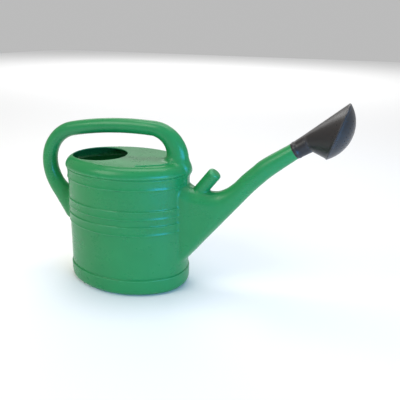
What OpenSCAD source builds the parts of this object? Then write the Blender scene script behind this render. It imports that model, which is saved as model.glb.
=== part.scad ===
// Ten litre watering can: one hollow moulding with a hoop handle, a fin-rooted
// spout and a parking peg, and a push-on rose with a perforated face.
// Millimetres. The can stands on z = 0, its spout points along +X, and the origin
// is the middle of the standing ring.

/* [Tank] */
// Length of the wall at the foot, along the spout's direction
tank_len = 255.6; // [240:0.2:270]
// Width of the tank
tank_wid = 190; // [180:1:200]
// Radius of the arcs that round the tank's two ends
end_r = 78; // [76:1:80]
// Height of the deck above the ground
deck_z = 264.5; // [262:0.5:268]
// How much the wall's half length shrinks per millimetre of height
wall_taper = 0.0093; // [0:0.0001:0.012]
// Thickness of the moulded skin
skin = 2; // [1.6:0.1:2.4]
// Height of the foot band
foot_h = 36; // [34:0.5:38]
// How far the foot band stands proud of the wall
foot_proud = 1.6; // [1:0.1:2]
// Radius of the tank's bottom edge
foot_round = 14.5; // [12:0.5:16]
// How far the three belts stand proud of the wall
belt_proud = 1; // [0.6:0.1:1.4]
// How far the shoulder bulges over the wall
shoulder_proud = 4.5; // [3:0.1:5]
// Radius of the shoulder's edge
shoulder_round = 20; // [16:0.5:22]
// Step up from the deck to the plateau that the handle stands on
plateau_h = 2.4; // [2:0.1:3]

/* [Filling opening] */
// Diameter of the filling opening
hole_d = 110; // [100:1:112]
// Distance of the opening's centre behind the tank's centre
hole_back = 60.6; // [58:0.2:62]

/* [Handle] */
// Height of the handle's rear foot on the wall
handle_foot_z = 137; // [130:1:140]
// Half thickness of the grip
grip_r = 14.5; // [13:0.5:16]

/* [Spout] */
// Upward slope of the spout's tip
tip_slope = 35; // [33:0.5:37]
// Radius of the spigot and of the parking peg
spigot_r = 13.8; // [13.4:0.1:14]
// Length of the spigot
spigot_len = 26; // [22:1:28]
// Length of the parking peg from its buried foot
peg_len = 56; // [48:1:60]
// Slope of the parking peg
peg_slope = 52.5; // [50:0.5:55]

/* [Rose] */
// Radial clearance of the rose's sleeve on the spigot
sleeve_gap = 0.05; // [0.02:0.01:0.1]
// Length of the rose's sleeve
sleeve_len = 28; // [26:1:30]
// Radius of the rose's rim
rim_r = 51; // [48:0.5:54]
// Height of the domed face
dome_h = 25; // [20:0.5:28]
// Diameter of one spray hole
spray_d = 1.8; // [1.6:0.1:2.2]
// Rings of spray holes around the middle one
spray_rings = 5; // [3:1:5]

/* [Hidden] */
$fn = 96;

can_green = [0.17, 0.52, 0.36];
rose_black = [0.09, 0.08, 0.08];

// Tank
wall_base_r = tank_len / 2;
end_x = wall_base_r - end_r;              // centre of an end arc
side_y = (end_x * end_x - pow(tank_wid / 2 - end_r, 2)) / (tank_wid - 2 * end_r);
side_r = tank_wid / 2 + side_y;          // radius of the long arcs along the sides
end_turn = atan2(side_y, end_x);         // half angle of an end arc
foot_r = wall_base_r + foot_proud;
recess_r = foot_r - foot_round - 12;     // inner edge of the standing ring
recess_h = 5;                            // how far the floor is raised inside it
ring_proud = 0.4;                        // how far the standing ring stands below the rest
ring_inset = 1;                          // from the start of the rounded edge
oval_sides = 72;
edge_steps = 6;
belts = [[131, 149.5], [163.5, 181], [222, 241.5]];
shoulder_z = belts[2][1];
shoulder_r = wall_r(shoulder_z) + shoulder_proud;
deck_r = shoulder_r - shoulder_round;    // half length of the flat deck
plateau_x = 48;                          // where the deck steps up
plateau_margin = 4;                      // flat deck left around the plateau
feed_slot = [95, 180];                   // lowest and highest point of the way into the spout
feed_w = 36;
vent_d = 18;                             // ways from the tank into the hollow handle
bury = 1;                                // how deep one region of the moulding bites the next

// Handle: [length, turn] of each straight or bent stretch from the rear foot
handle_heading = 128;
rear_leg = [[56, 0], [62, -40], [62, -46]];
grip = [[40, -30], [177, -15], [20, -21]];
front_leg = [[63, -66], [12, 0]];
handle_step = 9;
handle_sides = 24;
// Half thickness in the handle's plane and across it, by distance from the rear foot
handle_in_plane = [[0, 22], [50, 17], [100, 16], [165, grip_r], [400, grip_r], [430, 17], [492, 24]];
handle_across = [[0, 14], [60, 15], [100, 16], [165, grip_r], [400, grip_r], [440, 15.5], [492, 17]];

// Spout: [top x, top z, bottom x, bottom z, half width] of each section
spout_sections = [
    [127, 223, 127.5, 58, 31],
    [141, 216.5, 152, 88, 28],
    [159, 213.8, 175, 116.5, 26],
    [175, 213.3, 194, 140.5, 23.5],
    [190, 216, 211, 162, 21],
    [205, 223.5, 229, 184.5, 19.5],
    [219, 235, 245, 205, 19],
    [235, 252.5, 262, 226, 18.2],
    [253, 269.8, 279, 244.5, 17.6],
    [273, 286.5, 296, 260.5, 17]
];
spout_split = 5;                         // section where the root ends and the tube starts
section_steps = 3;
spout_sides = 32;
tip_at = [328.5, 305.3];                 // where the tube ends and the spigot starts
tube_end_r = 15;
spigot_bore_r = spigot_r - skin;
peg_foot = [152.3, 207.7];
peg_cut_z = 208.5;
peg_edge = 4;
peg_seat = 24;                           // distance from its foot to where a parked rose stops
peg_flare = 0.6;                         // how much wider the peg is at its foot than above the seat

// Rose, in a frame whose z runs along the spout's tip from tip_at
sleeve_start = 0.3;
sleeve_end = sleeve_start + sleeve_len;
sleeve_r = spigot_r + sleeve_gap;
sleeve_out_r = [15.2, 17];
rim_at = [8.1, 82.4];                    // below the tip's axis, and along it
rim_tilt = 52.2;                         // of the rim's normal below the tip's axis
rim_band = 3;
hood_skin = 1.8;
moving_gap = 0.3;
seat_gap = 0.45;                         // seat of the face to the hood's wall
hood_sides = 64;
seat_h = 2.4;                            // spigot of the face inside the rim
dome_r = (rim_r * rim_r + dome_h * dome_h) / (2 * dome_h);
spray_pitch = 6.8;                       // angle between rings of spray holes

function wall_r(z) = wall_base_r - wall_taper * z;

// ---------- shapes along a path ----------

// Displacement after a stretch of length l that turns by t from heading h
function chord(l, t, h) =
    let (c = t == 0 ? l : l * sin(t / 2) / (t / 2 * PI / 180))
    [c * cos(h + t / 2), c * sin(h + t / 2)];

function leg_len(legs) = len(legs) == 0 ? 0 : [for (l = legs) l[0]] * [for (l = legs) 1];

// Where a walk along the legs ends, as [x, z, heading]
function walk_end(at, legs, i = 0) =
    i == len(legs) ? at :
    let (d = chord(legs[i][0], legs[i][1], at[2]))
    walk_end([at[0] + d[0], at[1] + d[1], at[2] + legs[i][1]], legs, i + 1);

// Stations along the legs, as [x, z, heading, distance]
function walk(at, s, legs, i = 0) =
    i == len(legs) ? [[at[0], at[1], at[2], s]] :
    let (l = legs[i][0], t = legs[i][1], n = ceil(l / handle_step))
    concat(
        [for (j = [0 : n - 1])
            let (d = chord(l * j / n, t * j / n, at[2]))
            [at[0] + d[0], at[1] + d[1], at[2] + t * j / n, s + l * j / n]],
        walk(walk_end(at, [legs[i]]), s + l, legs, i + 1));

// Oval ring across a handle station
function handle_ring(st, grow) =
    let (p = lookup(st[3], handle_in_plane) + grow, q = lookup(st[3], handle_across) + grow)
    [for (k = [0 : handle_sides - 1])
        let (a = 360 * k / handle_sides)
        [st[0] - p * cos(a) * sin(st[2]), q * sin(a), st[1] + p * cos(a) * cos(st[2])]];

// Distance along X to the tank's end arc at y, on the surface that the feet are buried to
function bury_x(y, z) = end_x + sqrt(pow(end_r - wall_taper * z - bury, 2) - y * y);

// A ring slid along its heading onto the rear wall, or down onto the deck
function on_wall(ring, h) = [for (v = ring)
    let (t = (-bury_x(v[1], v[2]) - v[0]) / cos(h))
    [v[0] + t * cos(h), v[1], v[2] + t * sin(h)]];
function on_deck(ring) = [for (v = ring) [v[0], v[1], deck_z - bury]];

// Closed tube wall between matching lists of outer and inner rings
module ring_tube(outer, inner) {
    n = len(outer);
    sides = len(outer[0]);
    points = [for (r = concat(outer, inner)) each r];
    function id(i, k) = i * sides + k % sides;
    function quad(a, b, c, d) = [[a, b, c], [a, c, d]];
    polyhedron(points, [
        for (k = [0 : sides - 1]) each concat(
            [for (i = [0 : n - 2]) each
                quad(id(i, k), id(i, k + 1), id(i + 1, k + 1), id(i + 1, k))],
            [for (i = [n : 2 * n - 2]) each
                quad(id(i, k + 1), id(i, k), id(i + 1, k), id(i + 1, k + 1))],
            quad(id(0, k + 1), id(0, k), id(n, k), id(n, k + 1)),
            quad(id(n - 1, k), id(n - 1, k + 1), id(2 * n - 1, k + 1), id(2 * n - 1, k)))
    ]);
}

// ---------- tank ----------

// Point k of the oval whose front end is at r, found by the direction it faces
function oval_point(k, r) =
    let (inset = wall_base_r - r, facing = 360 * k / oval_sides,
         fx = cos(facing), fy = sin(facing), at_end = abs(fx) > cos(end_turn),
         centre = at_end ? [end_x * sign(fx), 0] : [0, -side_y * sign(fy)],
         radius = (at_end ? end_r : side_r) - inset)
    centre + radius * [fx, fy];

// A profile of [x, z] points, drawn anticlockwise at the tank's front end and carried
// round the oval: a closed profile makes a ring, an open one is capped at both its ends
module carried(profile, open = false) {
    n = len(profile);
    sides = [0 : oval_sides - 1];
    function id(i, k) = (i % n) * oval_sides + k % oval_sides;
    polyhedron(
        [for (p = profile, k = sides)
            let (v = oval_point(k, p[0]))
            [v[0], v[1], p[1]]],
        concat(
            [for (i = [0 : open ? n - 2 : n - 1], k = sides) each [
                [id(i, k), id(i + 1, k), id(i + 1, k + 1)],
                [id(i, k), id(i + 1, k + 1), id(i, k + 1)]]],
            open ? [[for (k = sides) id(0, k)], [for (k = sides) id(n - 1, -k + oval_sides)]] : []));
}

// Points of a round edge about c, from one angle to another
function edge_arc(c, r, from, to) =
    [for (j = [0 : edge_steps])
        let (a = from + (to - from) * j / edge_steps)
        c + r * [cos(a), sin(a)]];

// Flat oval plate whose front end is at r, with its corners between those of the shells
module oval_plate(r, h) {
    linear_extrude(h) polygon([for (k = [0 : oval_sides - 1]) oval_point(k + 0.5, r)]);
}

// Raised floor, rounded bottom edge and foot band, on a standing ring that is the
// lowest part
module base_cup() color(can_green) {
    centre = [foot_r - foot_round, foot_round + ring_proud];
    carried(concat(
        [[recess_r, recess_h], [recess_r, ring_proud]],
        edge_arc(centre, foot_round, -90, 0),
        [[foot_r, foot_h], [wall_base_r - skin, foot_h]],
        edge_arc(centre, foot_round - skin, -30, -90),
        [[recess_r + skin, ring_proud + skin], [recess_r + skin, recess_h + skin]]), open = true);
    difference() {
        oval_plate(foot_r - foot_round - ring_inset, skin);
        translate([0, 0, -1]) oval_plate(recess_r + skin / 2, skin + 2);
    }
}

// The belts' outline: each one steps out and back with a 45 degree edge
module tank_wall() color(can_green) difference() {
    carried(concat(
        [[wall_r(foot_h) - skin, foot_h], [wall_r(foot_h), foot_h]],
        [for (b = belts) each [
            [wall_r(b[0]), b[0]],
            [wall_r(b[0]) + belt_proud, b[0] + belt_proud],
            [wall_r(b[1]) + belt_proud, b[1] - belt_proud],
            [wall_r(b[1]), b[1]]]],
        [[wall_r(shoulder_z) - skin, shoulder_z]]));
    feed_cut();
    handle_vent(-wall_base_r, handle_foot_z);
}

// Way from the tank into the spout's root: a slot with round ends
module feed_cut() {
    depth = 3 * shoulder_round;
    translate([wall_base_r - depth / 2, 0, 0]) {
        for (z = [feed_slot[0] + feed_w / 2, feed_slot[1] - feed_w / 2])
            translate([0, 0, z]) rotate([0, 90, 0]) cylinder(d = feed_w, h = depth);
        translate([0, -feed_w / 2, feed_slot[0] + feed_w / 2])
            cube([depth, feed_w, feed_slot[1] - feed_slot[0] - feed_w]);
    }
}

module handle_vent(x, z) {
    translate([x, 0, z]) rotate([0, 90, 0]) cylinder(d = vent_d, h = 4 * skin, center = true);
}

// Rounded shoulder with the ledge it stands on, and the deck that closes the tank
module shoulder_deck() color(can_green) difference() {
    centre = [deck_r, deck_z - shoulder_round];
    union() {
        carried(concat(
            [[wall_r(shoulder_z) - skin, shoulder_z], [shoulder_r, shoulder_z]],
            edge_arc(centre, shoulder_round, 0, 90),
            [[deck_r - skin, deck_z], [deck_r - skin, deck_z - skin]],
            edge_arc(centre, shoulder_round - skin, 90, 0),
            [[shoulder_r - skin, shoulder_z + skin],
             [wall_r(shoulder_z) - skin, shoulder_z + skin]]));
        translate([0, 0, deck_z - skin]) oval_plate(deck_r - skin / 2, skin);
        plateau();
    }
    translate([-hole_back, 0, deck_z - shoulder_round]) cylinder(d = hole_d, h = 2 * shoulder_round);
    translate([handle_front_end()[0], 0, deck_z - 3 * skin]) cylinder(d = vent_d, h = 6 * skin);
}

// Raised front part of the deck under the handle's foot
module plateau() intersection() {
    translate([0, 0, deck_z - skin / 2]) oval_plate(deck_r - plateau_margin, plateau_h + skin / 2);
    translate([plateau_x, -tank_wid, 0]) cube([tank_len, 2 * tank_wid, 2 * deck_z]);
}

// ---------- handle ----------

handle_start = [-wall_base_r, handle_foot_z, handle_heading];
grip_start = walk_end(handle_start, rear_leg);
front_start = walk_end(grip_start, grip);
function handle_front_end() = walk_end(front_start, front_leg);

module handle_part(stations, lands) {
    function ring(i, grow) =
        let (r = handle_ring(stations[i], grow))
        lands == "wall" && i == 0 ? on_wall(r, handle_heading) :
        lands == "deck" && i == len(stations) - 1 ? on_deck(r) : r;
    index = [0 : len(stations) - 1];
    color(can_green) ring_tube([for (i = index) ring(i, 0)], [for (i = index) ring(i, -skin)]);
}

module handle_rear_leg() handle_part(walk(handle_start, 0, rear_leg), "wall");
module handle_grip() handle_part(walk(grip_start, leg_len(rear_leg), grip), "nothing");
module handle_front_leg()
    handle_part(walk(front_start, leg_len(concat(rear_leg, grip)), front_leg), "deck");

// ---------- spout ----------

// Round section that the tube ends in, square to the tip
tip_section = [
    tip_at[0] - tube_end_r * sin(tip_slope), tip_at[1] + tube_end_r * cos(tip_slope),
    tip_at[0] + tube_end_r * sin(tip_slope), tip_at[1] - tube_end_r * cos(tip_slope),
    tube_end_r
];
sections = concat(spout_sections, [tip_section]);

// Smooth curve through the sections: section number i, part t of the way to the next
function smooth_section(i, t) =
    let (last = len(sections) - 1,
         a = sections[max(i - 1, 0)], b = sections[i],
         c = sections[min(i + 1, last)], d = sections[min(i + 2, last)])
    b + t / 2 * ((c - a) + t * ((2 * a - 5 * b + 4 * c - d) + t * (3 * (b - c) + d - a)));

function between(first, last) = concat(
    [for (i = [first : last - 1], j = [0 : section_steps - 1])
        smooth_section(i, j / section_steps)],
    [sections[last]]);

// Ring around a section, flat-sided where the section is tall, with the skin taken off inside
function spout_ring(s, thick) =
    let (top = [s[0], s[1]], low = [s[2], s[3]], mid = (top + low) / 2,
         tall = norm(top - low) / 2, up = (top - low) / (2 * tall),
         p = tall - thick, q = s[4] - thick,
         e = lookup(tall / s[4], [[1, 1], [2.5, 0.75]]))
    [for (k = [0 : spout_sides - 1])
        let (a = 360 * k / spout_sides,
             u = p * sign(cos(a)) * pow(abs(cos(a)), e),
             v = q * sign(sin(a)) * pow(abs(sin(a)), e))
        [mid[0] + u * up[0], v, mid[1] + u * up[1]]];

// A ring slid along X onto the front wall
function on_front(ring) = [for (v = ring) [bury_x(v[1], v[2]), v[1], v[2]]];

module spout_part(list, at_root) {
    function ring(i, thick) =
        let (r = spout_ring(list[i], thick))
        at_root && i == 0 ? on_front(r) : r;
    index = [0 : len(list) - 1];
    // the last ring narrows inside to meet the spigot's bore
    function inside(i) = !at_root && i == len(list) - 1 ? tube_end_r - spigot_bore_r : skin;
    color(can_green) ring_tube([for (i = index) ring(i, 0)], [for (i = index) ring(i, inside(i))]);
}

module spout_root() spout_part(between(0, spout_split), true);
module spout_tube() spout_part(between(spout_split, len(sections) - 1), false);

// Everything at the spout's tip is drawn with z along the tip
module at_tip() {
    translate([tip_at[0], 0, tip_at[1]]) rotate([0, 90 - tip_slope, 0]) children();
}

module spout_spigot() color(can_green) at_tip() difference() {
    cylinder(r = spigot_r, h = spigot_len);
    translate([0, 0, -1]) cylinder(r = spigot_bore_r, h = spigot_len + 2);
}

// Hollow stub with a rounded end and a flared foot, the same size as the spigot above its
// seat, cut level where it goes into the spout's root
module peg_outline(r, edge, h) {
    polygon([[0, 0], [r + peg_flare, 0], [r, peg_seat], [0, peg_seat]]);
    square([r - edge, h]);
    square([r, h - edge]);
    translate([r - edge, h - edge]) circle(edge);
}

module parking_peg() color(can_green) difference() {
    translate([peg_foot[0], 0, peg_foot[1]]) rotate([0, 90 - peg_slope, 0])
        rotate_extrude() intersection() {
            difference() {
                peg_outline(spigot_r, peg_edge, peg_len);
                translate([0, -1]) peg_outline(spigot_r - skin, peg_edge - skin, peg_len + 1 - skin);
            }
            square(2 * peg_len);
        }
    translate([peg_foot[0], 0, peg_cut_z - peg_len / 2]) cube([4 * spigot_r, 4 * spigot_r, peg_len], center = true);
}

// ---------- rose ----------

module rose_sleeve() color(rose_black) at_tip() difference() {
    translate([0, 0, sleeve_start])
        cylinder(r1 = sleeve_out_r[0], r2 = sleeve_out_r[1], h = sleeve_len);
    cylinder(r = sleeve_r, h = sleeve_end + 1);
}

// Frame of the rim: z along the rim's normal, out of the rose
module at_rim() {
    at_tip() translate([rim_at[0], 0, rim_at[1]]) rotate([0, rim_tilt, 0]) children();
}

// Slanted funnel from a round neck to the rim, with a short band behind the face
function neck_ring(r) = [for (k = [0 : hood_sides - 1])
    let (a = 360 * k / hood_sides)
    [r * cos(a), r * sin(a), sleeve_end + moving_gap]];
function rim_ring(r, z) = [for (k = [0 : hood_sides - 1])
    let (a = 360 * k / hood_sides, x = r * cos(a))
    [rim_at[0] + x * cos(rim_tilt) + z * sin(rim_tilt),
     r * sin(a),
     rim_at[1] - x * sin(rim_tilt) + z * cos(rim_tilt)]];
function hood_rings(inset) = [
    neck_ring(sleeve_out_r[1] - inset),
    rim_ring(rim_r - inset, -rim_band),
    rim_ring(rim_r - inset, 0)
];
module rose_hood() color(rose_black) at_tip() ring_tube(hood_rings(0), hood_rings(hood_skin));

// Domed plate with a seat that drops into the hood's rim
module rose_face() color(rose_black) at_rim() difference() {
    rotate_extrude() {
        intersection() {
            difference() {
                translate([0, dome_h - dome_r]) circle(dome_r);
                translate([0, dome_h - dome_r]) circle(dome_r - hood_skin);
            }
            translate([0, moving_gap]) square([rim_r, dome_h]);
        }
        translate([rim_r - 2 * hood_skin - seat_gap, -seat_h])
            square([hood_skin, seat_h + 2 * hood_skin]);
    }
    translate([0, 0, dome_h - dome_r]) spray_holes();
}

// Rings of radial holes about the dome's centre
module spray_holes() {
    for (ring = [0 : spray_rings], k = [0 : max(6 * ring, 1) - 1])
        rotate([0, 0, 360 * k / max(6 * ring, 1)]) rotate([0, spray_pitch * ring, 0])
            translate([0, 0, dome_r - 3 * hood_skin])
                cylinder(d = spray_d, h = 6 * hood_skin, $fn = 16);
}

base_cup();
tank_wall();
shoulder_deck();
handle_rear_leg();
handle_grip();
handle_front_leg();
spout_root();
spout_tube();
spout_spigot();
parking_peg();
rose_sleeve();
rose_hood();
rose_face();
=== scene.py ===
"""Watering can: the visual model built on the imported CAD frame.

The can is one blow moulding, so its outer skin is one smooth surface. It is described as a
signed field (negative inside) made of the tank, handle, spout, spigot, peg and spine, and meshed
once. The rose is built from turned and lofted pieces. Field code works in millimetres in the CAD
frame; meshes are made in metres.
"""

import math

import bpy
import numpy as np
from mathutils import Matrix, Vector


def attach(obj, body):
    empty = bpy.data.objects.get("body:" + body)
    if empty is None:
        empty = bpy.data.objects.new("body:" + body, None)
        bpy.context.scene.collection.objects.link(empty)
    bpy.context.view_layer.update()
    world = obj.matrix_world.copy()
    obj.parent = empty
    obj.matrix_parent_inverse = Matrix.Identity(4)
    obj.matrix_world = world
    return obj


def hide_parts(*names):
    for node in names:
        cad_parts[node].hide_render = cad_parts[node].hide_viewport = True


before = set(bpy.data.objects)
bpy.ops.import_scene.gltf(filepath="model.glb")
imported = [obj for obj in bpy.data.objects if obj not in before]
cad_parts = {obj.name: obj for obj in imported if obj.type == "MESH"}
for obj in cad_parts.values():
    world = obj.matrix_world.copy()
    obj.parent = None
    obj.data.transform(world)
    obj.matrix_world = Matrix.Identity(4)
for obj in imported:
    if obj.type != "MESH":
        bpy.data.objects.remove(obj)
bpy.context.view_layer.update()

MM = 0.001

# ---------- driving dimensions, millimetres ----------

# Tank
TANK_LEN = 255.6
TANK_WID = 190.0
END_R = 78.0
DECK_Z = 264.5
TAPER = 0.0093
SKIN = 2.0
FOOT_H = 36.0
FOOT_PROUD = 1.6
FOOT_ROUND = 14.5
RECESS_H = 5.0
RECESS_INSET = 12.0
BELTS = [(131.0, 149.5), (163.5, 181.0), (222.0, 241.5)]
BELT_PROUD = 0.9
BEAD_PROUD = 1.6
BEAD_H = 2.2
SHOULDER_Z = 243.5
SHOULDER_PROUD = 4.0
SHOULDER_ROUND = 20.0
PLATEAU_X = 46.0
PLATEAU_H = 2.4
PLATEAU_INSET = 3.0
HOLE_R = 55.0
HOLE_X = -60.6

# Handle: (length, turn) stretches of its centre line, from the rear foot
HANDLE_START = (-TANK_LEN / 2, 137.0)
HANDLE_HEADING = 128.0
HANDLE_LEGS = [
    (56, 0),
    (62, -40),
    (62, -46),
    (40, -30),
    (177, -15),
    (20, -21),
    (63, -66),
    (12, 0),
]
# Half thickness in the handle's plane and across it, by distance from the rear foot
IN_PLANE = [(0, 28), (40, 21.5), (70, 18), (100, 16), (165, 14.5), (400, 14.5), (430, 17), (492, 24)]
ACROSS = [(0, 14), (60, 15), (100, 16), (165, 14.5), (400, 14.5), (440, 15.5), (492, 17)]

# Spout: top x, top z, bottom x, bottom z and half width of each section
TIP_AT = (328.5, 305.3)
TIP_SLOPE = 35.0
TUBE_END_R = 15.0
SPOUT_STEPS = 6
SPOUT_EDGE = 26.0
SPOUT = [
    (113, 229, 103, 28, 31),
    (127, 223, 127.5, 58, 31),
    (141, 216.5, 152, 88, 28),
    (159, 213.8, 175, 116.5, 26),
    (175, 212.0, 194, 140.0, 23.5),
    (191, 213.6, 211, 161.0, 21),
    (206.5, 221.0, 229, 183.0, 19.5),
    (220.5, 232.6, 245.5, 203.5, 19),
    (236, 250.2, 262.5, 224.0, 18.2),
    (254, 267.9, 279.5, 242.3, 17.6),
    (273, 285.5, 296.5, 258.8, 17),
]
SPIGOT_R = 13.8
SPIGOT_LEN = 26.0
PEG_FOOT = (152.3, 207.7)
PEG_SLOPE = 52.5
PEG_LEN = 54.5
PEG_EDGE = 5.5
SPINE_PROUD = 4.6
SPINE_HALF = 12.0

# Rose, in a frame whose z runs along the spout's tip
SLEEVE = (0.3, 28.3)
SLEEVE_R = (15.2, 17.0)
RIM_AT = (8.1, 82.4)
RIM_TILT = 52.2
RIM_R = 51.0
RIM_BAND = 3.0
DOME_H = 25.0
HOOD_SKIN = 1.8
SPRAY_R = 0.9
SPRAY_RINGS = 5
SPRAY_PITCH = 6.8
HOOD_SIDES = 128
DRILL_SIDES = 12

# Boxes and steps of the grids that the moulding is meshed on
SPAN_X = (-208, 358)
SPAN_Y = (-101.5, 101.5)
SPAN_Z = (-3, 348)
SKIN_STEP = 2.9
HOLLOW_STEP = 4.0

END_X = TANK_LEN / 2 - END_R
SIDE_Y = (END_X**2 - (TANK_WID / 2 - END_R) ** 2) / (TANK_WID - 2 * END_R)
SIDE_R = TANK_WID / 2 + SIDE_Y


# ---------- field helpers ----------

def smooth_min(a, b, k):
    """Union of two fields with a fillet of about k."""
    h = np.clip(0.5 + 0.5 * (b - a) / k, 0, 1)
    return b + (a - b) * h - k * h * (1 - h)


def smooth_max(a, b, k):
    """Intersection of two fields with a rounded edge of about k."""
    return -smooth_min(-a, -b, k)


def smooth_step(x, start, end):
    """Rises smoothly from 0 at start to 1 at end."""
    t = np.clip((x - start) / (end - start), 0, 1)
    return t * t * (3 - 2 * t)


def band(q, z, out, low, high, r):
    """Everything inside q = out between two heights, with corners of radius r."""
    dq = q - out + r
    dz = np.abs(z - (low + high) / 2) - (high - low) / 2 + r
    return np.minimum(np.maximum(dq, dz), 0) + np.hypot(np.maximum(dq, 0), np.maximum(dz, 0)) - r


def oval(x, y):
    """Distance from the tank's four-arc outline, negative inside."""
    x, y = np.abs(x), np.abs(y)
    end = np.hypot(x - END_X, y) - END_R
    side = np.hypot(x, y + SIDE_Y) - SIDE_R
    return np.where(y * END_X < (x - END_X) * SIDE_Y, end, side)


# ---------- parts of the field ----------

def tank(x, y, z):
    """Foot, wall with its belts, shoulder, deck with its plateau, and the hollow underneath."""
    q = oval(x, y)
    drawn_in = q + TAPER * z
    seam = 0.8 * np.exp(-(((z - FOOT_H - 1.6) / 1.1) ** 2))
    body = band(drawn_in + seam, z, 0, 8, 252, 2)
    foot = smooth_max(band(q, z, FOOT_PROUD, 0, 200, FOOT_ROUND), z - FOOT_H, 1.4)
    body = smooth_min(body, foot, 0.6)
    for low, high in BELTS:
        body = smooth_min(body, band(drawn_in, z, BELT_PROUD, low, high, 0.8), 0.5)
        for edge in (low + BEAD_H / 2, high - BEAD_H / 2):
            bead = band(drawn_in, z, BEAD_PROUD, edge - BEAD_H / 2, edge + BEAD_H / 2, BEAD_H / 2)
            body = smooth_min(body, bead, 2.0)
    at_shoulder = q + TAPER * SHOULDER_Z
    shoulder = band(at_shoulder, z, SHOULDER_PROUD, 60, DECK_Z, SHOULDER_ROUND)
    shoulder = smooth_max(shoulder, SHOULDER_Z - z, 4)
    body = smooth_min(body, shoulder, 3)
    plateau_out = SHOULDER_PROUD - SHOULDER_ROUND - PLATEAU_INSET
    plateau = band(at_shoulder, z, plateau_out, 240, DECK_Z + PLATEAU_H, 1.5)
    plateau = smooth_max(plateau, PLATEAU_X - x, 1.5)
    body = smooth_min(body, plateau, 1.5)
    under = band(q, z, FOOT_PROUD - FOOT_ROUND - RECESS_INSET, -40, RECESS_H, 2.5)
    return smooth_max(body, -under, 2)


def walk(start, heading, legs, step=1.5):
    """Points along a line of straight and bent stretches, with the distance of each."""
    x, z, h, s = start[0], start[1], heading, 0.0
    found = [(x, z, s)]
    for length, turn in legs:
        count = max(int(length / step), 1)
        for _ in range(count):
            mid = math.radians(h + turn / count / 2)
            x += length / count * math.cos(mid)
            z += length / count * math.sin(mid)
            h += turn / count
            s += length / count
            found.append((x, z, s))
    return np.array(found)


def handle(x, y, z):
    """Elliptical rod round the handle's centre line."""
    line = walk(HANDLE_START, HANDLE_HEADING, HANDLE_LEGS)
    px, pz = np.broadcast_arrays(x, z)
    flat = np.stack([px.ravel(), pz.ravel()], 1)
    best = np.full(len(flat), 1e9)
    along = np.zeros(len(flat))
    for cx, cz, s in line:
        d = (flat[:, 0] - cx) ** 2 + (flat[:, 1] - cz) ** 2
        near = d < best
        best[near] = d[near]
        along[near] = s
    off = np.sqrt(best).reshape(px.shape)
    along = along.reshape(px.shape)
    p = np.interp(along, *zip(*IN_PLANE))
    w = np.interp(along, *zip(*ACROSS))
    return (np.sqrt((off / p) ** 2 + (y / w) ** 2) - 1) * np.minimum(p, w)


def spout_sections():
    """The spout's sections with smooth ones put between them, ending square to the tip."""
    s, c = math.sin(math.radians(TIP_SLOPE)), math.cos(math.radians(TIP_SLOPE))
    r = TUBE_END_R
    ends = [(TIP_AT[0] - r * s + d * c, TIP_AT[1] + r * c + d * s, TIP_AT[0] + r * s + d * c,
             TIP_AT[1] - r * c + d * s, r) for d in (0, 6)]
    a = np.array(SPOUT + ends, float)
    dense = []
    for i in range(len(a) - 1):
        p0, p1, p2, p3 = a[max(i - 1, 0)], a[i], a[i + 1], a[min(i + 2, len(a) - 1)]
        linear, square, cube = p2 - p0, 2 * p0 - 5 * p1 + 4 * p2 - p3, 3 * (p1 - p2) + p3 - p0
        for t in np.arange(SPOUT_STEPS) / SPOUT_STEPS:
            dense.append(p1 + t / 2 * (linear + t * (square + t * cube)))
    dense.append(a[-1])
    return np.array(dense)


def spout(x, y, z):
    """Tube through the sections: half round ends, flat sides where it is tall."""
    sections = spout_sections()
    px, pz = np.broadcast_arrays(x, z)
    fx, fz = px.ravel(), pz.ravel()
    place = np.zeros(len(fx))
    first = past = None
    for i, (tx, tz, bx, bz, _) in enumerate(sections):
        tall = math.hypot(tx - bx, tz - bz)
        nx, nz = (tz - bz) / tall, -(tx - bx) / tall
        d = (fx - bx) * nx + (fz - bz) * nz
        if first is None:
            first = d
        else:
            between = (past >= 0) & (d < 0)
            place[between] = i - 1 + (past / np.maximum(past - d, 1e-9))[between]
            place[d >= 0] = i
        past = d
    numbers = np.arange(len(sections))
    tx, tz, bx, bz, w = (np.interp(place, numbers, sections[:, j]) for j in range(5))
    tall = np.hypot(tx - bx, tz - bz)
    high = ((fx - (tx + bx) / 2) * (tx - bx) + (fz - (tz + bz) / 2) * (tz - bz)) / tall
    edge = np.minimum(tall / 2, SPOUT_EDGE)
    over = np.maximum((np.abs(high) - tall / 2 + edge) / edge, 0)
    shape = px.shape
    over, w, edge = over.reshape(shape), w.reshape(shape), edge.reshape(shape)
    field = (np.sqrt(over**2 + (y / w) ** 2) - 1) * np.minimum(edge, w)
    return np.maximum(np.maximum(field, -first.reshape(shape)), past.reshape(shape))


def rod(x, y, z, foot, slope, start, end, r, edge):
    """Round rod in the plane y = 0 with rounded ends."""
    c, s = math.cos(math.radians(slope)), math.sin(math.radians(slope))
    along = (x - foot[0]) * c + (z - foot[1]) * s
    off = np.hypot((z - foot[1]) * c - (x - foot[0]) * s, y)
    return band(off, along, r, start, end, edge)


def spine(x, y, z):
    """Rib that carries the handle's front edge over the shoulder and down to the spout."""
    out = SPINE_PROUD + SHOULDER_PROUD * smooth_step(z, 236, 247)
    proud = band(oval(x, y) + TAPER * z, z, out, 200, DECK_Z + PLATEAU_H, 22)
    proud = smooth_max(proud, np.abs(y) - SPINE_HALF, 5)
    return smooth_max(proud, 100 - x, 3)


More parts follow.
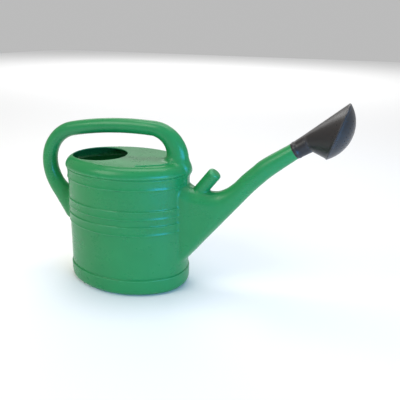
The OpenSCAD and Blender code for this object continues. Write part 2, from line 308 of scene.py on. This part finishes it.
def can(x, y, z):
    """The whole moulding, each part joined to the rest with its own fillet."""
    body = smooth_min(tank(x, y, z), spine(x, y, z), 4)
    body = smooth_min(body, handle(x, y, z), 13)
    body = smooth_min(body, spout(x, y, z), 4)
    peg = rod(x, y, z, PEG_FOOT, PEG_SLOPE, 0, PEG_LEN, SPIGOT_R - 0.3, PEG_EDGE)
    body = smooth_min(body, peg, 4)
    spigot = rod(x, y, z, TIP_AT, TIP_SLOPE, -4, SPIGOT_LEN, SPIGOT_R, 0.6)
    return smooth_min(body, spigot, 0.4)


# ---------- meshing a field ----------

def lines(low, high, step, fine=(), fine_step=0.6, reach=1.8):
    """Grid lines at an even step, with closer ones round the heights in fine."""
    count = int(round((high - low) / step))
    places = [low + (high - low) * i / count for i in range(count + 1)]
    side = int(reach / fine_step)
    for f in fine:
        places = [p for p in places if abs(p - f) > reach]
        places += [f + fine_step * (i + 0.5) for i in range(-side, side)]
    places = sorted(places)
    kept = [places[0]]
    for p in places[1:]:
        if p - kept[-1] > fine_step * 0.6:
            kept.append(p)
    return np.array(kept)


def surface(field, xs, ys, zs, level=0.0, rounds=2):
    """Quad mesh where field = level, one vertex per crossed cell, moved onto the surface."""
    values = field(xs[:, None, None], ys[None, :, None], zs[None, None, :]) - level
    inside = values < 0
    shape = np.array(values.shape) - 1
    corners = [(i, j, k) for i in (0, 1) for j in (0, 1) for k in (0, 1)]

    def at(a, c):
        return a[c[0]:c[0] + shape[0], c[1]:c[1] + shape[1], c[2]:c[2] + shape[2]]

    count = sum(at(inside, c).astype(np.int8) for c in corners)
    cells = np.argwhere((count > 0) & (count < 8))
    number = np.full(shape, -1, np.int64)
    number[tuple(cells.T)] = np.arange(len(cells))
    grid = (xs, ys, zs)
    total = np.zeros((len(cells), 3))
    hits = np.zeros(len(cells))
    for c in corners:
        for axis in range(3):
            if c[axis]:
                continue
            d = list(c)
            d[axis] = 1
            a_at, b_at = cells + c, cells + d
            a = values[tuple(a_at.T)]
            b = values[tuple(b_at.T)]
            crossed = (a < 0) != (b < 0)
            t = np.where(crossed, a / np.where(crossed, a - b, 1), 0)
            point = np.stack([grid[m][a_at[:, m]] for m in range(3)], 1)
            span = grid[axis][b_at[:, axis]] - grid[axis][a_at[:, axis]]
            point[:, axis] += t * span
            total += point * crossed[:, None]
            hits += crossed
    points = total / hits[:, None]

    faces = []
    for axis in range(3):
        u, v = (axis + 1) % 3, (axis + 2) % 3
        low = [slice(None)] * 3
        high = [slice(None)] * 3
        low[axis], high[axis] = slice(0, -1), slice(1, None)
        a, b = inside[tuple(low)], inside[tuple(high)]
        for edges, flip in ((np.argwhere(a & ~b), False), (np.argwhere(~a & b), True)):
            quad = []
            for du, dv in ((-1, -1), (0, -1), (0, 0), (-1, 0)):
                cell = edges.copy()
                cell[:, u] += du
                cell[:, v] += dv
                quad.append(number[tuple(cell.T)])
            quad = np.stack(quad, 1)
            faces.append(quad[:, ::-1] if flip else quad)
    faces = np.concatenate(faces)

    def value(p):
        return field(p[:, 0], p[:, 1], p[:, 2]) - level

    for _ in range(rounds):
        here = value(points)
        slope = np.zeros_like(points)
        for m in range(3):
            moved = points.copy()
            moved[:, m] += 0.05
            slope[:, m] = (value(moved) - here) / 0.05
        size = np.maximum((slope**2).sum(1), 0.2)
        points -= np.clip(here / size, -1.5, 1.5)[:, None] * slope
    return points, faces


def new_mesh(name, points, faces, smooth_angle=35):
    """Mesh object from millimetre points, smooth except at edges sharper than the angle."""
    mesh = bpy.data.meshes.new(name)
    mesh.from_pydata((np.asarray(points) * MM).tolist(), [], [list(map(int, f)) for f in faces])
    mesh.validate()
    obj = bpy.data.objects.new(name, mesh)
    bpy.context.scene.collection.objects.link(obj)
    shade(mesh, smooth_angle)
    return obj


def shade(mesh, smooth_angle):
    """Smooth shading everywhere but at edges sharper than the angle."""
    mesh.shade_smooth()
    mesh.set_sharp_from_angle(angle=math.radians(smooth_angle))


def cut(obj, cutter):
    """Takes the cutter out of the object and throws the cutter away."""
    tool = obj.modifiers.new("cut", "BOOLEAN")
    tool.operation = "DIFFERENCE"
    tool.solver = "MANIFOLD"
    tool.object = cutter
    bpy.context.view_layer.update()
    done = bpy.data.meshes.new_from_object(obj.evaluated_get(bpy.context.evaluated_depsgraph_get()))
    obj.modifiers.remove(tool)
    done.materials.clear()
    old = obj.data
    obj.data = done
    done.name = old.name
    bpy.data.meshes.remove(old)
    bpy.data.objects.remove(cutter)


def ring_point(place, r, z, angle=0.0):
    """Point at a radius, height and angle of the frame that place stands for."""
    return place @ Vector((r * math.cos(angle), r * math.sin(angle), z))


def ring_faces(rings, sides, closed):
    """Quads between neighbouring rings, and from the last to the first when closed."""
    faces = []
    for i in range(rings if closed else rings - 1):
        j = (i + 1) % rings
        for k in range(sides):
            m = (k + 1) % sides
            faces.append((i * sides + k, i * sides + m, j * sides + m, j * sides + k))
    return faces


def turned(profile, sides, place, closed=True):
    """Points and faces of a profile of (r, z) carried round the z axis."""
    angles = [2 * math.pi * k / sides for k in range(sides)]
    points = [tuple(ring_point(place, r, z, a)) for r, z in profile for a in angles]
    return np.array(points), ring_faces(len(profile), sides, closed)


def revolved(profile, sides, place):
    """Points and faces of a closed solid whose profile starts and ends on the axis."""
    ring, faces = turned(profile[1:-1], sides, place, closed=False)
    ends = [tuple(ring_point(place, 0, z)) for z in (profile[0][1], profile[-1][1])]
    top = (len(profile) - 3) * sides
    for k in range(sides):
        m = (k + 1) % sides
        faces.append((len(ring), m, k))
        faces.append((len(ring) + 1, top + k, top + m))
    return np.concatenate([ring, ends]), faces


# ---------- pieces ----------

def tilted(at, tilt):
    """Frame at a point of the plane y = 0, leaned from z towards x."""
    return Matrix.Translation((at[0], 0, at[1])) @ Matrix.Rotation(math.radians(tilt), 4, "Y")


tip = tilted(TIP_AT, 90 - TIP_SLOPE)
rim = tip @ tilted(RIM_AT, RIM_TILT)


def make_can():
    """Skin and hollow as one closed shell, opened at the filling hole and the spigot."""
    step = SKIN_STEP
    edges = [FOOT_H, SHOULDER_Z, DECK_Z] + [z for b in BELTS for z in b]
    points, faces = surface(can, lines(*SPAN_X, step), lines(*SPAN_Y, step), lines(*SPAN_Z, step, edges))
    coarse = [lines(*span, HOLLOW_STEP) for span in (SPAN_X, SPAN_Y, SPAN_Z)]
    hollow_points, hollow_faces = surface(can, *coarse, -SKIN, 1)
    faces = np.concatenate([faces, hollow_faces[:, ::-1] + len(points)])
    obj = new_mesh("can_moulding", np.concatenate([points, hollow_points]), faces)

    wide = HOLE_R + 0.9
    above = DECK_Z + 12
    hole = [(0, 250), (HOLE_R, 250), (HOLE_R, DECK_Z - 0.7), (wide, DECK_Z + 0.4), (wide, above), (0, above)]
    cut(obj, new_mesh("hole", *revolved(hole, 144, Matrix.Translation((HOLE_X, 0, 0)))))
    bore_r = SPIGOT_R - SKIN
    low, high = SPIGOT_LEN - 12, SPIGOT_LEN + 5
    cut(obj, new_mesh("bore", *revolved([(0, low), (bore_r, low), (bore_r, high), (0, high)], 64, tip)))
    shade(obj.data, 35)
    return obj


def make_sleeve():
    """Collar that pushes on to the spigot, with a bead near its mouth."""
    a, b = SLEEVE
    r0, r1 = SLEEVE_R
    profile = [(SPIGOT_R + 0.05, a + 0.6), (SPIGOT_R + 0.6, a), (r0 - 0.3, a), (r0, a + 0.4),
               (r0 + 0.1, a + 3.2), (r0 + 0.9, a + 3.7), (r0 + 1.0, a + 6.8), (r0 + 0.5, a + 7.4)]
    profile += [(r0 + 0.5 + (r1 - r0 - 0.5) * t, a + 7.4 + (b - a - 7.4) * t) for t in (0.3, 0.6, 0.85)]
    profile += [(r1, b - 0.2), (r1 - 0.3, b), (SPIGOT_R + 0.5, b), (SPIGOT_R + 0.05, b - 0.5)]
    return new_mesh("rose_sleeve_collar", *turned(profile, 96, tip), 50)


def make_hood():
    """Slanted funnel with a flange at its rim, as a closed shell."""
    angles = [2 * math.pi * k / HOOD_SIDES for k in range(HOOD_SIDES)]
    start = SLEEVE[1] + 0.3
    walls = []
    for inset in (0.0, HOOD_SKIN):
        neck_r = SLEEVE_R[1] - inset
        mouth_r = RIM_R - inset - 1.0
        neck = [ring_point(tip, neck_r, start, a) for a in angles]
        mouth = [ring_point(rim, mouth_r, -RIM_BAND, a) for a in angles]
        walls.append([[n * (1 - t) + m * t for n, m in zip(neck, mouth)] for t in np.linspace(0, 1, 15)])
    outer, inner = walls
    flange = [
        (RIM_R - 0.3, -RIM_BAND + 0.4),
        (RIM_R, -RIM_BAND + 0.9),
        (RIM_R, -0.4),
        (RIM_R - 0.4, 0.0),
        (RIM_R - HOOD_SKIN + 0.2, 0.0),
        (RIM_R - HOOD_SKIN, -0.2),
    ]
    lip = [[ring_point(rim, r, z, a) for a in angles] for r, z in flange]
    loop = outer + lip + inner[::-1]
    points = [tuple(p) for ring in loop for p in ring]
    return new_mesh("rose_funnel", points, ring_faces(len(loop), HOOD_SIDES, True), 40)


def dome_arc(r, centre, base_z, count):
    """Profile points of a dome of radius r from near its crown down to the height base_z."""
    reach = math.acos((base_z - centre) / r)
    turns = [reach * i / count for i in range(1, count + 1)]
    return [(r * math.sin(t), centre + r * math.cos(t)) for t in turns]


def make_face():
    """Domed face with the ring that seats it and its spray holes."""
    dome_r = (RIM_R**2 + DOME_H**2) / (2 * DOME_H)
    centre = DOME_H - dome_r
    inner_r = dome_r - HOOD_SKIN
    base = 0.3
    seat = RIM_R - HOOD_SKIN - 0.45
    skirt = [
        (seat, base),
        (seat, -2.0),
        (seat - 0.4, -2.4),
        (seat - HOOD_SKIN + 0.4, -2.4),
        (seat - HOOD_SKIN, -2.0),
        (seat - HOOD_SKIN, 0.6),
    ]
    outer = dome_arc(dome_r, centre, base, 22)
    inner = dome_arc(inner_r, centre, base, 22)[:-2][::-1]
    profile = [(0, DOME_H)] + outer + skirt + inner + [(0, centre + inner_r)]
    points, faces = revolved(profile, HOOD_SIDES, rim)
    obj = new_mesh("rose_perforated_face", points, [f[::-1] for f in faces], 40)
    cut(obj, make_drills(centre, dome_r - 6, dome_r + 4))
    shade(obj.data, 40)
    return obj


def make_drills(centre, low, high):
    """Pins for the spray holes: one in the middle and rings of six, twelve and so on round it."""
    points, faces = [], []
    for ring in range(SPRAY_RINGS + 1):
        count = max(6 * ring, 1)
        for k in range(count):
            turn = Matrix.Rotation(2 * math.pi * k / count, 4, "Z")
            lean = Matrix.Rotation(math.radians(SPRAY_PITCH * ring), 4, "Y")
            place = rim @ Matrix.Translation((0, 0, centre)) @ turn @ lean
            first = len(points)
            pin, sides = turned([(SPRAY_R, low), (SPRAY_R, high)], DRILL_SIDES, place, closed=False)
            points += pin.tolist()
            faces += [tuple(first + i for i in side) for side in sides]
            faces.append(tuple(first + i for i in reversed(range(DRILL_SIDES))))
            faces.append(tuple(first + DRILL_SIDES + i for i in range(DRILL_SIDES)))
    return new_mesh("drills", points, faces)


# ---------- materials ----------

# Colour sockets of a Mix node
MIX_FACTOR, MIX_A, MIX_B = 0, 6, 7
MIX_COLOUR = 2


def plastic(name, colour, deep, edge_wear_and_highlight, rough, grain, scratch):
    """Moulded plastic: slow colour drift, convex edges paled partly by wear and partly by a painted
    highlight, fine mould grain and faint scratches.
    """
    mat = bpy.data.materials.new(name)
    mat.use_nodes = True
    nodes, links = mat.node_tree.nodes, mat.node_tree.links
    shader = nodes["Principled BSDF"]
    place = nodes.new("ShaderNodeTexCoord")

    def noise(scale, detail, rough_noise=0.5, stretch=None):
        tex = nodes.new("ShaderNodeTexNoise")
        tex.inputs["Scale"].default_value = scale
        tex.inputs["Detail"].default_value = detail
        tex.inputs["Roughness"].default_value = rough_noise
        source = place.outputs["Object"]
        if stretch:
            mapping = nodes.new("ShaderNodeMapping")
            mapping.inputs["Scale"].default_value = stretch
            links.new(source, mapping.inputs["Vector"])
            source = mapping.outputs["Vector"]
        links.new(source, tex.inputs["Vector"])
        return tex.outputs["Fac"]

    def ramp(source, low, high, first, last):
        node = nodes.new("ShaderNodeMapRange")
        node.inputs["From Min"].default_value = low
        node.inputs["From Max"].default_value = high
        node.inputs["To Min"].default_value = first
        node.inputs["To Max"].default_value = last
        links.new(source, node.inputs["Value"])
        return node.outputs["Result"]

    drift = nodes.new("ShaderNodeMix")
    drift.data_type = "RGBA"
    drift.inputs[MIX_A].default_value = (*deep, 1)
    drift.inputs[MIX_B].default_value = (*colour, 1)
    links.new(ramp(noise(9, 3), 0.3, 0.7, 0, 1), drift.inputs[MIX_FACTOR])
    # Painted highlight and wear: convex edges (high pointiness) are mixed towards a paler colour. This
    # stands in for light catching the edges as well as for rubbing.
    shape = nodes.new("ShaderNodeNewGeometry")
    wear_and_highlight_mix = nodes.new("ShaderNodeMix")
    wear_and_highlight_mix.data_type = "RGBA"
    wear_and_highlight_mix.inputs[MIX_B].default_value = (*edge_wear_and_highlight, 1)
    links.new(ramp(shape.outputs["Pointiness"], 0.515, 0.58, 0, 0.75), wear_and_highlight_mix.inputs[MIX_FACTOR])
    links.new(drift.outputs[MIX_COLOUR], wear_and_highlight_mix.inputs[MIX_A])
    links.new(wear_and_highlight_mix.outputs[MIX_COLOUR], shader.inputs["Base Color"])

    rubbed = noise(26, 5, 0.65)
    marks = noise(60, 6, 0.7, (1.0, 1.0, 7.0))
    add = nodes.new("ShaderNodeMath")
    add.operation = "ADD"
    links.new(ramp(rubbed, 0.35, 0.7, rough - 0.05, rough + 0.06), add.inputs[0])
    links.new(ramp(marks, 0.5, 0.75, 0, scratch), add.inputs[1])
    links.new(add.outputs[0], shader.inputs["Roughness"])

    bump = nodes.new("ShaderNodeBump")
    bump.inputs["Strength"].default_value = grain
    bump.inputs["Distance"].default_value = 0.0004
    links.new(noise(700, 2), bump.inputs["Height"])
    soft = nodes.new("ShaderNodeBump")
    soft.inputs["Strength"].default_value = 0.16
    soft.inputs["Distance"].default_value = 0.0010
    links.new(noise(32, 2), soft.inputs["Height"])
    links.new(bump.outputs["Normal"], soft.inputs["Normal"])
    links.new(soft.outputs["Normal"], shader.inputs["Normal"])
    shader.inputs["IOR"].default_value = 1.51
    shader.inputs["Specular IOR Level"].default_value = 0.36
    return mat


green = plastic(
    "green_polyethylene",
    colour=(0.014, 0.245, 0.066),
    deep=(0.011, 0.212, 0.056),
    # paler colour of convex edges: edge wear plus a painted highlight
    edge_wear_and_highlight=(0.10, 0.42, 0.19),
    rough=0.30,
    grain=0.12,
    scratch=0.06,
)
black = plastic(
    "black_polypropylene",
    colour=(0.026, 0.022, 0.020),
    deep=(0.019, 0.016, 0.016),
    # paler colour of convex edges: edge wear plus a painted highlight
    edge_wear_and_highlight=(0.06, 0.055, 0.055),
    rough=0.30,
    grain=0.10,
    scratch=0.06,
)

moulding = make_can()
moulding.data.materials.append(green)
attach(moulding, "can")
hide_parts("base_cup", "tank_wall", "shoulder_deck", "handle_rear_leg", "handle_grip",
            "handle_front_leg", "spout_root", "spout_tube", "spout_spigot", "parking_peg")

for make, node in ((make_sleeve, "rose_sleeve"), (make_hood, "rose_hood"), (make_face, "rose_face")):
    made = make()
    made.data.materials.append(black)
    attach(made, node)
    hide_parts(node)


# ---------- stage ----------

def make_floor():
    """Plain pale floor, wide enough to reach the horizon."""
    points = [(-6000, -6000, 0), (6000, -6000, 0), (6000, 9000, 0), (-6000, 9000, 0)]
    floor = new_mesh("floor", points, [(0, 1, 2, 3)])
    mat = bpy.data.materials.new("pale_floor")
    mat.use_nodes = True
    shader = mat.node_tree.nodes["Principled BSDF"]
    shader.inputs["Base Color"].default_value = (0.93, 0.93, 0.93, 1)
    shader.inputs["Roughness"].default_value = 0.9
    shader.inputs["Specular IOR Level"].default_value = 0.1
    floor.data.materials.append(mat)


def soft_light(name, at, aim, size, power, colour=(1, 1, 1)):
    """Rectangular area light at one point, aimed at another."""
    data = bpy.data.lights.new(name, "AREA")
    data.shape = "RECTANGLE"
    data.size, data.size_y = size
    data.energy = power
    data.color = colour
    lamp = bpy.data.objects.new(name, data)
    bpy.context.scene.collection.objects.link(lamp)
    lamp.location = at
    lamp.rotation_mode = "QUATERNION"
    lamp.rotation_quaternion = (Vector(at) - Vector(aim)).to_track_quat("Z", "Y")


def make_camera():
    """Camera at the viewing angle: azimuth and elevation about a point of the can, and a slight roll."""
    azimuth = math.radians(17.42)
    elevation = math.radians(19.64)
    roll = math.radians(1.2235)
    target = Vector((0.1544, 0, 0.1909))
    distance = 0.9437
    level = Matrix.Rotation(azimuth, 3, "Z") @ Matrix.Rotation(-elevation, 3, "X")
    data = bpy.data.cameras.new("camera")
    data.sensor_width = 36
    data.lens = 43.2
    data.clip_start, data.clip_end = 0.05, 60
    cam = bpy.data.objects.new("camera", data)
    bpy.context.scene.collection.objects.link(cam)
    turn = level @ Matrix.Rotation(math.radians(90), 3, "X") @ Matrix.Rotation(roll, 3, "Z")
    cam.matrix_world = Matrix.Translation(target + turn.col[2] * distance) @ turn.to_4x4()
    bpy.context.scene.camera = cam


make_floor()
world = bpy.data.worlds.new("studio")
world.use_nodes = True
sky = world.node_tree.nodes["Background"]
sky.inputs["Color"].default_value = (1, 1, 1, 1)
sky.inputs["Strength"].default_value = 0.5
bpy.context.scene.world = world
bpy.context.scene.view_settings.view_transform = "Standard"
soft_light("key", (-1.1, -1.5, 1.9), (0, 0, 0.15), (1.2, 1.2), 22, (1.0, 0.98, 0.90))
soft_light("overhead", (0.0, 0.3, 2.2), (0.05, 0, 0.2), (1.8, 0.9), 20)
soft_light("cool_side", (1.35, -0.95, 0.34), (0.08, 0, 0.15), (0.9, 0.5), 24, (0.05, 0.42, 1.0))
soft_light("far_floor", (-1.5, 4.5, 3.0), (-1.5, 4.5, 0), (5.0, 3.0), 120)
make_camera()
